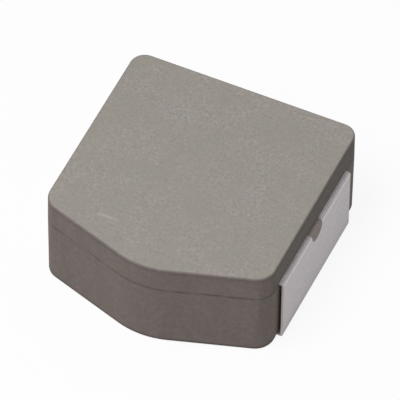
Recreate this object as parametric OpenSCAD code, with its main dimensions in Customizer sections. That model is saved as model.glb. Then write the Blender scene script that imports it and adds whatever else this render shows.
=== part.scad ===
// Shielded power inductor for surface mounting.
// A block of iron powder is pressed around a coil of flat copper wire. Two wide tinned
// terminals leave the block at the parting plane, run down its sides and fold under it.
// Millimetres. +X runs from terminal to terminal, -Y to the nose, +Z up from the board.
// The origin is the middle of the footprint, at the level of the solder faces.

/* [Body] */
// Width across the two side walls, at the parting plane
body_w = 16.15; // [15.8:0.05:17.5]
// Length of each side wall, from the back wall to the virtual shoulder corner
side_l = 14.4; // [13.9:0.1:15.5]
// How far the virtual nose corner stands in front of the shoulder corners
nose_out = 2.6; // [2:0.05:3.5]
// Height of the top face over the board
body_top = 7.15; // [6.9:0.05:8]
// Height of the underside over the board
body_foot = 0.05; // [0.05:0.01:0.15]
// Height of the parting plane over the board
parting_z = 5.15; // [4.9:0.05:5.3]
// Draft of the walls, away from the parting plane
draft_deg = 0.4; // [0:0.1:1.5]

/* [Edges] */
// Radius of the two back corners in plan
back_r = 1.05; // [0.8:0.05:1.5]
// Radius of the two shoulder corners in plan
shoulder_r = 1.4; // [0.8:0.05:1.6]
// Radius of the nose in plan
nose_r = 5.8; // [3:0.1:8]
// Radius of the edge round the top face
top_edge_r = 0.16; // [0.05:0.01:0.3]
// Radius of the edge round the underside
foot_edge_r = 0.1; // [0.05:0.01:0.15]
// Depth of the parting line
parting_d = 0.04; // [0.02:0.01:0.08]
// Height of the parting line
parting_h = 0.09; // [0.04:0.01:0.15]

/* [Terminals] */
// Width of each terminal along the side wall
term_w = 10.6; // [7:0.1:11]
// How far the middle of each terminal stands behind the middle of the footprint
term_y = 0.8; // [0.4:0.05:1.2]
// Thickness of the terminal strip
term_t = 0.15; // [0.12:0.01:0.2]
// How far the upper side of the strip stands over the parting plane
strip_up = 0.12; // [0.04:0.01:0.16]
// Gap between the side wall and the plate that runs down it
wall_gap = 0.2; // [0.1:0.01:0.3]
// Inner radius of the bend at the top of the plate
bend_in_r = 0.03; // [0.02:0.01:0.1]
// Inner radius of the fold under the body
fold_in_r = 0.03; // [0.02:0.01:0.15]
// Length of the solder foot, from the outer face of the terminal
foot_l = 2.6; // [1.5:0.1:3.5]
// Gap between the solder foot and its recess in the underside
foot_gap = 0.05; // [0.02:0.01:0.1]
// Gap between the ends of the solder foot and the ends of its recess
recess_gap = 0.2; // [0.1:0.05:0.4]
// Depth to which the full width of the strip is held in the wall
root_l = 1.3; // [1.2:0.05:1.5]
// Thickness of powder between the side wall and the tab under each weld
tab_cover = 0.7; // [0.5:0.05:0.9]

/* [Lock hole] */
// Width of the hole that straddles the bend of each terminal
hole_w = 1.65; // [1:0.05:1.7]
// How far the hole reaches down the plate, from the upper side of the strip
hole_drop = 0.95; // [0.9:0.05:1.6]
// How far the hole reaches into the wall, where the powder fills it
hole_in = 0.95; // [0.9:0.05:1.1]
// Gap between the edge of the hole and the boss of powder that fills it
boss_gap = 0.02; // [0.01:0.01:0.05]

/* [Coil] */
// Radial width of the flat wire
wire_w = 1.9; // [1.4:0.05:2.1]
// Thickness of the flat wire
wire_t = 0.6; // [0.4:0.02:0.62]
// Radius of the middle of the winding
coil_r = 4.9; // [4.6:0.05:5]
// Number of turns, a whole number and a half
turns = 5.5; // [3.5:1:5.5]
// Gap between one turn and the next, which the enamel fills
turn_gap = 0.05; // [0.03:0.01:0.06]
// How far the coil's axis stands behind the middle of the footprint
coil_y = -0.3; // [-0.4:0.05:0.2]
// Gap between the coil and the powder around it
coil_gap = 0.06; // [0.03:0.01:0.1]
// Inner radius of the bends in the wire's tails
tail_bend_r = 0.3; // [0.2:0.05:0.4]
// Length of each weld between a tail and its tab
weld_l = 1.5; // [1:0.1:1.7]

/* [Hidden] */
$fn = 64;
corner_steps = 14;
edge_steps = 4;
turn_steps = 40;
bend_steps = 6;
over = 1;

// Plan of the body
half_w = body_w / 2;
facet_deg = atan(nose_out / half_w);
nose_trim = nose_r * (1 / cos(facet_deg) - 1);
body_l = side_l + nose_out - nose_trim;
back_y = body_l / 2;
shoulder_y = back_y - side_l;

// Terminal
bend_r = term_t + bend_in_r;
fold_r = term_t + fold_in_r;
outer_x = half_w + wall_gap + term_t;
term_top = parting_z + strip_up;
root_x = half_w - root_l;
strip_z = term_top - term_t;
hole_r = hole_w / 2;
hole_z = term_top - hole_drop + hole_r;
recess_z = term_t + foot_gap;

// Coil
pitch = wire_t + turn_gap;
coil_in_r = coil_r - wire_w / 2;
coil_out_r = coil_r + wire_w / 2;
climb = pitch / (2 * PI * coil_r);
tail_run = sqrt(pow(coil_out_r, 2) - pow(coil_in_r, 2)) + 2 * coil_gap;
tail_bend = tail_bend_r + wire_t / 2;
riser_y = coil_y + tail_run + tail_bend;
tab_y0 = riser_y + tail_bend + coil_gap;
tab_y1 = tab_y0 + weld_l;
tail_z = term_top + wire_t / 2;
coil_z1 = tail_z - climb * tail_run;
coil_z0 = coil_z1 - turns * pitch;
riser_z = coil_z0 - climb * tail_run;

// Corner arcs of the plan, anticlockwise: [centre, radius, first angle, last angle]
function plan_arcs() =
    let (
        nose = [[0, shoulder_y - nose_out + nose_r / cos(facet_deg)], nose_r,
                270 - facet_deg, 270 + facet_deg],
        shoulder_c = shoulder_y + shoulder_r * (1 - sin(facet_deg)) / cos(facet_deg),
        shoulder_x = half_w - shoulder_r,
        back_x = half_w - back_r
    )
    [
        nose,
        [[shoulder_x, shoulder_c], shoulder_r, 270 + facet_deg, 360],
        [[back_x, back_y - back_r], back_r, 0, 90],
        [[-back_x, back_y - back_r], back_r, 90, 180],
        [[-shoulder_x, shoulder_c], shoulder_r, 180, 270 - facet_deg]
    ];

// One closed ring of the body: the plan drawn in by inset, at height z
function plan_ring(z, inset) = [
    for (arc = plan_arcs(), i = [0:corner_steps])
        let (a = arc[2] + (arc[3] - arc[2]) * i / corner_steps)
        [arc[0][0] + (arc[1] - inset) * cos(a), arc[0][1] + (arc[1] - inset) * sin(a), z]
];

// How far the drafted wall is drawn in at height z
function wall_inset(z) = abs(z - parting_z) * tan(draft_deg);

// Levels of the body from the underside up: [z, inset]
function body_levels() =
    let (
        foot_in = wall_inset(body_foot + foot_edge_r),
        top_in = wall_inset(body_top - top_edge_r)
    )
    [
        for (i = [0:edge_steps])
            let (a = 90 * i / edge_steps)
            [body_foot + foot_edge_r * (1 - cos(a)), foot_in + foot_edge_r * (1 - sin(a))],
        [parting_z - parting_h / 2, wall_inset(parting_z - parting_h / 2)],
        [parting_z, parting_d],
        [parting_z + parting_h / 2, wall_inset(parting_z + parting_h / 2)],
        for (i = [edge_steps:-1:0])
            let (a = 90 * i / edge_steps)
            [body_top - top_edge_r * (1 - cos(a)), top_in + top_edge_r * (1 - sin(a))]
    ];

// Closed solid through a list of rings that all have the same number of points
module loft(rings) {
    n = len(rings[0]);
    points = [for (ring = rings, p = ring) p];
    sides = [
        for (k = [0:len(rings) - 2], i = [0:n - 1])
            let (j = (i + 1) % n)
            [k * n + i, (k + 1) * n + i, (k + 1) * n + j, k * n + j]
    ];
    first = [for (i = [0:n - 1]) i];
    last = [for (i = [n - 1:-1:0]) (len(rings) - 1) * n + i];
    polyhedron(points, concat([first], sides, [last]));
}

// A block given by its two corners
module block(low, high) {
    translate(low) cube(high - low);
}

// Quarter of a ring as thick as the strip, in the +X +Y quadrant
module quarter_ring(r) {
    intersection() {
        difference() {
            circle(r);
            circle(r - term_t);
        }
        square(r);
    }
}

// What the wall holds of the right terminal: the strip's root and the tab under the weld
module terminal_root() {
    half = term_w / 2;
    difference() {
        union() {
            block([root_x, term_y - half, strip_z], [half_w, term_y + half, term_top]);
            block([coil_in_r, tab_y0, strip_z], [half_w - tab_cover, tab_y1, term_top]);
        }
        root_hole();
    }
}

// Inner half of the lock hole, which the powder fills
module root_hole() {
    hole_x = half_w - hole_in + hole_r;
    low_z = strip_z - over;
    translate([hole_x, term_y, low_z]) cylinder(r = hole_r, h = term_t + 2 * over);
    block([hole_x, term_y - hole_r, low_z], [half_w + over, term_y + hole_r, term_top + over]);
}

// Outline of the outer half of the lock hole, drawn in by gap, from the wall line outwards
module hole_outline(gap) {
    r = hole_r - gap;
    translate([0, term_y, 0]) {
        translate([half_w - over, 0, hole_z]) rotate([0, 90, 0]) cylinder(r = r, h = 2 * over);
        block([half_w - over, -r, hole_z], [half_w + over, r, term_top + over]);
    }
}

// Boss of powder in the lock hole: level with the strip as far as the bend, then sloping
// to the plate's outer face half-way down the hole
module lock_boss() {
    root = half_w - parting_d - boss_gap;
    intersection() {
        hole_outline(boss_gap);
        translate([0, term_y, 0]) rotate([90, 0, 0]) linear_extrude(hole_w, center = true)
            polygon([
                [root, term_top],
                [root, term_top - hole_drop],
                [outer_x, term_top - hole_drop],
                [outer_x, term_top - hole_drop / 2],
                [outer_x - bend_r, term_top]
            ]);
    }
}

// Right terminal: root, strip, bend, plate, fold and solder foot of one tinned strip
module terminal() {
    terminal_root();
    difference() {
        translate([0, term_y, 0]) rotate([90, 0, 0])
            linear_extrude(term_w, center = true) wrap_profile();
        intersection() {
            hole_outline(0);
            block([half_w, -body_l, 0], [half_w + over, body_l, body_top]);
        }
    }
}

// Profile of the strip outside the wall, in X and Z: flat, bend, plate, fold and foot
module wrap_profile() {
    bend_x = outer_x - bend_r;
    bend_z = term_top - bend_r;
    translate([half_w, strip_z]) square([bend_x - half_w, term_t]);
    translate([bend_x, bend_z]) quarter_ring(bend_r);
    translate([outer_x - term_t, fold_r]) square([term_t, bend_z - fold_r]);
    translate([outer_x - fold_r, fold_r]) mirror([0, 1]) quarter_ring(fold_r);
    translate([outer_x - foot_l, 0]) square([foot_l - fold_r, term_t]);
}

module terminal_right() {
    color("silver") terminal();
}

module terminal_left() {
    color("silver") mirror([1, 0, 0]) terminal();
}

// Path of the wire, from the left weld to the right weld: [point, sideways unit vector]
function left_tail() =
    let (x = -coil_r, side = [-1, 0, 0])
    [
        [[x, tab_y1, tail_z], side],
        for (i = [0:bend_steps])
            let (a = 90 * i / bend_steps)
            [[x, riser_y + tail_bend * (1 - sin(a)), tail_z - tail_bend * (1 - cos(a))], side],
        for (i = [0:bend_steps])
            let (a = 90 * i / bend_steps)
            [[x, riser_y - tail_bend * (1 - cos(a)), riser_z + tail_bend * (1 - sin(a))], side]
    ];

function winding() = [
    for (i = [0:turns * turn_steps])
        let (a = 180 + 360 * i / turn_steps)
        [[coil_r * cos(a), coil_y + coil_r * sin(a), coil_z0 + pitch * i / turn_steps],
         [cos(a), sin(a), 0]]
];

function right_tail() = [
    [[coil_r, coil_y + tail_run, tail_z], [1, 0, 0]],
    [[coil_r, tab_y1, tail_z], [1, 0, 0]]
];

// Unit vector along the path at its point i, between the stretches before and after it
function heading(path, i) =
    let (
        before = path[i][0] - path[max(i - 1, 0)][0],
        after = path[min(i + 1, len(path) - 1)][0] - path[i][0],
        sum = (norm(before) > 0 ? before / norm(before) : [0, 0, 0])
            + (norm(after) > 0 ? after / norm(after) : [0, 0, 0])
    )
    sum / norm(sum);

// The wire's four corners at point i of the path, widened so that bends keep its thickness
function wire_ring(path, i) =
    let (
        p = path[i][0],
        along = heading(path, i),
        after = path[min(i + 1, len(path) - 1)][0] - p,
        turn = norm(after) > 0 ? along * after / norm(after) : 1,
        side = path[i][1] * wire_w / 2,
        up = cross(path[i][1], along) * wire_t / 2 / turn
    )
    [p - side - up, p + side - up, p + side + up, p - side + up];

module coil() {
    path = concat(left_tail(), winding(), right_tail());
    color("sienna") loft([for (i = [0:len(path) - 1]) wire_ring(path, i)]);
}

// Room that the coil takes in the powder: the winding, the riser on the left, the two tails
// up to their tabs, and the two welds
module coil_room() {
    in_r = coil_in_r - coil_gap;
    out_r = coil_out_r + coil_gap;
    low_z = riser_z - wire_t / 2 - coil_gap;
    high_z = tail_z + wire_t / 2 + coil_gap;
    bend_low_z = term_top - tail_bend_r - coil_gap;
    riser_back = riser_y + wire_t / 2 + coil_gap;
    translate([0, coil_y, low_z]) difference() {
        cylinder(r = out_r, h = high_z - low_z);
        translate([0, 0, -over]) cylinder(r = in_r, h = high_z - low_z + 2 * over);
    }
    block([-out_r, coil_y, low_z], [-in_r, riser_back, high_z]);
    for (side = [0, 1]) mirror([side, 0, 0]) {
        block([in_r, coil_y, bend_low_z], [out_r, tab_y0, high_z]);
        block([in_r, riser_y, term_top], [out_r, tab_y1 + coil_gap, high_z]);
    }
}

// Recess in the underside for the right solder foot
module foot_recess() {
    half = term_w / 2 + recess_gap;
    block([outer_x - foot_l - recess_gap, term_y - half, body_foot - over],
          [outer_x + over, term_y + half, recess_z]);
}

module moulded_body() {
    color("dimgray") {
        difference() {
            loft([for (level = body_levels()) plan_ring(level[0], level[1])]);
            coil_room();
            for (side = [0, 1]) mirror([side, 0, 0]) {
                foot_recess();
                terminal_root();
            }
        }
        for (side = [0, 1]) mirror([side, 0, 0]) lock_boss();
    }
}

moulded_body();
coil();
terminal_right();
terminal_left();
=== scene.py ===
"""Looks of the shielded power inductor: a matt block of pressed iron powder between two tinned
terminals.

Lengths are in metres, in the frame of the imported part: +X to the right terminal, -Y to the nose,
+Z up. Materials work in millimetres.
"""

import math

import bpy
from mathutils import Matrix, Vector

MM = 0.001

# Camera: a long lens, looking down on the nose from its right
AZIMUTH_DEG = 24.10
ELEVATION_DEG = 49.69
ROLL_DEG = 0.85
DISTANCE = 463 * MM
SENSOR = 36.0
PX_PER_MM = 15.25
IMAGE_PX = 400
AIM = Vector((-0.094, 1.06, 3.572)) * MM
CLIP_NEAR = 0.01
CLIP_FAR = 10

# Light: strength of the sky on the part, and how much of the light the floor throws back on it
SKY = 0.35
FLOOR_BOUNCE = 0.4
LAMP_AT = (-0.045, -0.071, 0.203)
LAMP_SIZE = 0.12
LAMP_WATTS = 0.34

# Floor: its size, how far it lies below the feet so that no two faces coincide, its colour as
# seen, and the share of plain white in it, which leaves the rest to the part's shadow
FLOOR_SIZE = 0.6
FLOOR_DROP = 0.02 * MM
FLOOR_SEEN = 0.9
FLOOR_WHITE = 0.9

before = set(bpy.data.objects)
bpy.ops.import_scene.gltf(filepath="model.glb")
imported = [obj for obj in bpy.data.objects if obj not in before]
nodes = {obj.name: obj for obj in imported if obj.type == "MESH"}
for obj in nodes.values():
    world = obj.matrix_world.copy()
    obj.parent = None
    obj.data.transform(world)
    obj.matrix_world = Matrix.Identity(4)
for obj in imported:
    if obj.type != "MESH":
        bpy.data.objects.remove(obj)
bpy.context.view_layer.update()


# ---------------------------------------------------------------- node helpers

class Shader:
    """A node tree with short calls for adding and joining nodes."""

    def __init__(self, tree):
        self.tree = tree
        tree.nodes.clear()

    def add(self, kind, inputs=None, **settings):
        node = self.tree.nodes.new(kind)
        for name, value in settings.items():
            setattr(node, name, value)
        for name, value in (inputs or {}).items():
            if isinstance(value, bpy.types.NodeSocket):
                self.tree.links.new(value, node.inputs[name])
            else:
                node.inputs[name].default_value = value
        return node

    def math(self, operation, a, b=0.0):
        return self.add("ShaderNodeMath", {0: a, 1: b}, operation=operation).outputs[0]

    def ramp(self, value, low, high, out_low=0.0, out_high=1.0):
        """value taken from low..high to out_low..out_high, held at both ends."""
        node = self.add("ShaderNodeMapRange", {
            "Value": value, "From Min": low, "From Max": high,
            "To Min": out_low, "To Max": out_high})
        return node.outputs["Result"]

    def noise(self, where, scale, detail=2.0, roughness=0.5):
        node = self.add("ShaderNodeTexNoise", {
            "Vector": where, "Scale": scale, "Detail": detail, "Roughness": roughness})
        return node.outputs["Fac"]

    def mix(self, factor, a, b):
        node = self.add("ShaderNodeMix", data_type="RGBA")
        for socket, value in ((0, factor), (6, a), (7, b)):
            if isinstance(value, bpy.types.NodeSocket):
                self.tree.links.new(value, node.inputs[socket])
            else:
                node.inputs[socket].default_value = value
        return node.outputs[2]

    def place(self):
        """Position on the part in millimetres, and its X, Y and Z."""
        coord = self.add("ShaderNodeTexCoord").outputs["Object"]
        scaled = self.add(
            "ShaderNodeVectorMath", {0: coord, 1: (1 / MM,) * 3}, operation="MULTIPLY")
        split = self.add("ShaderNodeSeparateXYZ", {0: scaled.outputs[0]})
        return scaled.outputs[0], split.outputs

    def facing(self):
        """X, Y and Z of the surface's own direction."""
        normal = self.add("ShaderNodeTexCoord").outputs["Normal"]
        return self.add("ShaderNodeSeparateXYZ", {0: normal}).outputs

    def bump(self, height, strength, distance):
        node = self.add("ShaderNodeBump", {
            "Height": height, "Strength": strength, "Distance": distance * MM})
        return node.outputs[0]

    def surface(self, inputs):
        bsdf = self.add("ShaderNodeBsdfPrincipled", inputs)
        self.add("ShaderNodeOutputMaterial", {"Surface": bsdf.outputs[0]})


def new_material(name):
    material = bpy.data.materials.new(name)
    material.use_nodes = True
    return material, Shader(material.node_tree)


def srgb(red, green, blue):
    """A colour written as 0..255 screen values, as the linear values that a shader takes."""
    def linear(c):
        c /= 255
        return c / 12.92 if c <= 0.04045 else ((c + 0.055) / 1.055) ** 2.4
    return (linear(red), linear(green), linear(blue), 1.0)


# ---------------------------------------------------------------- materials

# Heights of the top and of the parting line, and place of the side wall, in millimetres
TOP_Z = 7.15
PARTING_Z = 5.15
WALL_X = 8.075

# The scuff on the top: its middle in X and Y and half its length and width, in millimetres
SCUFF_X, SCUFF_Y = -3.75, -5.55
SCUFF_LONG, SCUFF_WIDE = 1.05, 0.17


def scuff_mask(s, where, axis):
    """The short pale scuff on the top, near its left front edge."""
    along = s.math("DIVIDE", s.math("SUBTRACT", axis["X"], SCUFF_X), SCUFF_LONG)
    across = s.math("DIVIDE", s.math("SUBTRACT", axis["Y"], SCUFF_Y), SCUFF_WIDE)
    reach = s.math("ADD", s.math("MULTIPLY", along, along), s.math("MULTIPLY", across, across))
    mask = s.math("MULTIPLY", s.ramp(reach, 0.1, 1.0, 0.75, 0.0),
                  s.ramp(along, -0.8, 0.6, 0.45, 1.0))
    mask = s.math("MULTIPLY", mask, s.ramp(s.noise(where, 2.4), 0.42, 0.55, 0.2, 1.0))
    return s.math("MULTIPLY", mask, s.ramp(axis["Z"], PARTING_Z, PARTING_Z + 1))


def pressed_powder():
    """Iron powder pressed in resin: matt and fine-grained, with browner walls that carry painted
    shade.
    """
    material, s = new_material("pressed_powder")
    where, axis = s.place()
    facing = s.facing()

    # The punched faces, above and below
    grain = s.noise(where, 5.0, 3.0, 0.7)
    mottle = s.noise(where, 1.3, 2.0)
    cloud = s.noise(where, 0.45, 2.0)
    patch = s.noise(where, 2.3, 3.0, 0.65)
    face = s.mix(s.ramp(grain, 0.3, 0.7), srgb(136, 131, 124), srgb(167, 162, 157))
    face = s.mix(s.ramp(patch, 0.4, 0.65, 0.0, 0.3), face, srgb(138, 134, 128))
    face = s.mix(s.ramp(mottle, 0.35, 0.65, 0.0, 0.45), face, srgb(155, 143, 136))
    face = s.mix(s.ramp(cloud, 0.38, 0.62, 0.0, 0.5), face, srgb(145, 143, 133))
    face = s.mix(scuff_mask(s, where, axis), face, srgb(180, 168, 161))

    # The walls, browner, and darker as painted shade on the sides, with faint upright streaks
    stretched = s.add(
        "ShaderNodeVectorMath", {0: where, 1: (1.0, 1.0, 0.15)}, operation="MULTIPLY")
    streak = s.noise(stretched.outputs[0], 1.6, 3.0)
    wall = s.mix(s.ramp(grain, 0.3, 0.7), srgb(127, 117, 113), srgb(154, 142, 138))
    wall = s.mix(s.ramp(mottle, 0.35, 0.65, 0.0, 0.5), wall, srgb(139, 124, 121))
    wall = s.mix(s.ramp(patch, 0.4, 0.62, 0.0, 0.5), wall, srgb(124, 113, 110))
    wall = s.mix(s.ramp(streak, 0.4, 0.65, 0.0, 0.35), wall, srgb(121, 114, 105))
    wall = s.mix(s.ramp(cloud, 0.4, 0.6, 0.25, 0.0), wall, srgb(132, 124, 113))

    # Painted shade: darker flanks over the terminals
    flank_shade = s.math("MULTIPLY", s.ramp(s.math("ABSOLUTE", facing["X"]), 0.9, 0.99),
                   s.ramp(axis["Z"], PARTING_Z - 0.3, PARTING_Z + 0.1))
    flank_shade_colour = s.mix(s.ramp(grain, 0.35, 0.65), srgb(109, 104, 98), srgb(126, 118, 112))
    wall = s.mix(flank_shade, wall, flank_shade_colour)

    # Painted shade close under the top edge, and painted contact shadow along the foot
    painted_edge_and_foot_shade = s.math("MAXIMUM", s.ramp(axis["Z"], TOP_Z - 0.5, TOP_Z - 0.2, 0.0, 0.3),
                 s.ramp(axis["Z"], 0.12, 0.4, 0.9, 0.0))
    wall = s.mix(painted_edge_and_foot_shade, wall, srgb(90, 80, 76))

    level = s.math("ABSOLUTE", facing["Z"])
    colour = s.mix(s.ramp(level, 0.8, 0.93), wall, face)

    # The parting line: painted shade in its groove, with dirt and flash, stronger in some
    # stretches than in others
    off = s.math("ABSOLUTE", s.math("SUBTRACT", axis["Z"], PARTING_Z))
    line = s.math("MULTIPLY", s.ramp(off, 0.04, 0.16, 1.0, 0.0),
                  s.ramp(s.noise(where, 0.7, 2.0), 0.38, 0.58, 0.2, 0.6))
    colour = s.mix(line, colour, srgb(92, 80, 76))

    # The bosses in the lock holes, rough, and painted pale as painted light
    boss_painted_light = s.ramp(s.math("ABSOLUTE", axis["X"]), WALL_X + 0.02, WALL_X + 0.06)
    pale = s.mix(s.ramp(grain, 0.35, 0.65), srgb(166, 151, 147), srgb(181, 166, 161))
    colour = s.mix(boss_painted_light, colour, pale)

    height = s.math("ADD", s.math("MULTIPLY", grain, 0.6), s.math("MULTIPLY", mottle, 0.4))
    s.surface({
        "Base Color": colour, "Roughness": 0.78, "Specular IOR Level": 0.3,
        "Normal": s.bump(height, 0.4, 0.03)})
    return material


def tinned_strip():
    """Matt tin on copper strip: a pale, mostly diffuse metal with a faint crystalline mottle."""
    material, s = new_material("tinned_strip")
    where, axis = s.place()
    facing = s.facing()
    mottle = s.noise(where, 1.1, 3.0, 0.6)
    fine = s.noise(where, 5.0, 3.0, 0.7)
    colour = s.mix(s.ramp(mottle, 0.35, 0.65), srgb(212, 205, 208), srgb(228, 221, 223))
    colour = s.mix(s.ramp(fine, 0.4, 0.6, 0.0, 0.6), colour, srgb(196, 190, 195))

    # Slightly darker toward the foot
    colour = s.mix(s.ramp(axis["Z"], 0.4, 4.0, 0.35, 0.0), colour, srgb(186, 180, 184))
    colour = s.mix(s.ramp(axis["Z"], 0.25, 1.1, 0.3, 0.0), colour, srgb(168, 162, 165))

    # Painted shade round the bends, and a painted highlight just below them
    level = s.math("ABSOLUTE", facing["Z"])
    bend_shade = s.math("MULTIPLY", s.ramp(level, 0.9, 0.99, 1.0, 0.0), s.ramp(level, 0.35, 0.6))
    colour = s.mix(bend_shade, colour, srgb(184, 178, 180))
    painted_highlight = s.math("MULTIPLY", s.ramp(s.math("ABSOLUTE", facing["X"]), 0.6, 0.9),
                    s.ramp(axis["Z"], PARTING_Z - 0.2, PARTING_Z - 0.06, 0.0, 0.8))
    colour = s.mix(painted_highlight, colour, srgb(246, 241, 242))

    # The sheared ends, where the copper shows through the tin
    end = s.ramp(s.math("ABSOLUTE", facing["Y"]), 0.9, 0.98)
    colour = s.mix(end, colour, srgb(222, 209, 206))
    s.surface({
        "Base Color": colour, "Metallic": 0.25, "Roughness": s.ramp(mottle, 0.3, 0.7, 0.4, 0.52),
        "Normal": s.bump(fine, 0.15, 0.01)})
    return material


def enamelled_copper():
    """Copper wire under clear amber enamel."""
    material, s = new_material("enamelled_copper")
    streak = s.noise(s.place()[0], 2.0, 2.0)
    colour = s.mix(s.ramp(streak, 0.3, 0.7), srgb(158, 82, 44), srgb(190, 108, 62))
    s.surface({
        "Base Color": colour, "Metallic": 0.9, "Roughness": 0.3,
        "Coat Weight": 0.8, "Coat Roughness": 0.08})
    return material


def paint(node, material):
    for slot in nodes[node].material_slots:
        slot.material = material


# ---------------------------------------------------------------- stage

def make_lamp():
    """One soft square lamp above the left front of the part, aimed at the frame's origin."""
    data = bpy.data.lights.new("top_soft", "AREA")
    data.shape = "SQUARE"
    data.size = LAMP_SIZE
    data.energy = LAMP_WATTS
    lamp = bpy.data.objects.new("top_soft", data)
    bpy.context.scene.collection.objects.link(lamp)
    lamp.location = LAMP_AT
    lamp.rotation_euler = (-Vector(LAMP_AT)).to_track_quat("-Z", "Y").to_euler()


def seen(s):
    """1 on camera, glossy and transmission rays, 0 on the rays that light the part."""
    path = s.add("ShaderNodeLightPath").outputs
    mirrored = s.math("MAXIMUM", path["Is Glossy Ray"], path["Is Transmission Ray"])
    return s.math("MAXIMUM", path["Is Camera Ray"], mirrored)


def make_world():
    """White where the camera or a reflection looks past the part, and a soft grey light on it."""
    world = bpy.data.worlds.new("studio")
    bpy.context.scene.world = world
    world.use_nodes = True
    s = Shader(world.node_tree)
    strength = s.ramp(seen(s), 0.0, 1.0, SKY, 1.0)
    back = s.add("ShaderNodeBackground", {"Color": (1, 1, 1, 1), "Strength": strength})
    s.add("ShaderNodeOutputWorld", {"Surface": back.outputs[0]})


def make_floor():
    """Pale floor that keeps the part's soft shadow."""
    bpy.ops.mesh.primitive_plane_add(size=FLOOR_SIZE, location=(0, 0, -FLOOR_DROP))
    floor = bpy.context.object
    floor.name = "floor"
    material, s = new_material("floor")
    mask = seen(s)
    colour = s.mix(mask, (FLOOR_BOUNCE,) * 3 + (1,), (FLOOR_SEEN,) * 3 + (1,))
    diffuse = s.add("ShaderNodeBsdfDiffuse", {"Color": colour})
    glow = s.add("ShaderNodeEmission", {"Color": (1, 1, 1, 1), "Strength": 1.0})
    share = s.math("MULTIPLY", mask, FLOOR_WHITE)
    both = s.add("ShaderNodeMixShader", {0: share, 1: diffuse.outputs[0], 2: glow.outputs[0]})
    s.add("ShaderNodeOutputMaterial", {"Surface": both.outputs[0]})
    floor.data.materials.append(material)


def make_camera():
    """The photograph's camera, with AIM in the middle of the picture."""
    az, el, roll = (math.radians(a) for a in (AZIMUTH_DEG, ELEVATION_DEG, ROLL_DEG))
    back = Vector((math.sin(az) * math.cos(el), -math.cos(az) * math.cos(el), math.sin(el)))
    right = Vector((math.cos(az), math.sin(az), 0))
    up = back.cross(right)
    right, up = (right * math.cos(roll) + up * math.sin(roll),
                 up * math.cos(roll) - right * math.sin(roll))
    data = bpy.data.cameras.new("camera")
    data.sensor_width = SENSOR
    data.lens = PX_PER_MM / MM * DISTANCE / IMAGE_PX * SENSOR
    data.clip_start = CLIP_NEAR
    data.clip_end = CLIP_FAR
    camera = bpy.data.objects.new("camera", data)
    bpy.context.scene.collection.objects.link(camera)
    camera.matrix_world = Matrix.Translation(AIM + back * DISTANCE) @ Matrix(
        (right, up, back)).transposed().to_4x4()
    bpy.context.scene.camera = camera


# ---------------------------------------------------------------- the scene

bpy.context.scene.view_settings.view_transform = "Standard"
make_camera()
make_world()
make_floor()
make_lamp()

paint("moulded_body", pressed_powder())
tin = tinned_strip()
for terminal in ("terminal_right", "terminal_left"):
    paint(terminal, tin)
paint("coil", enamelled_copper())
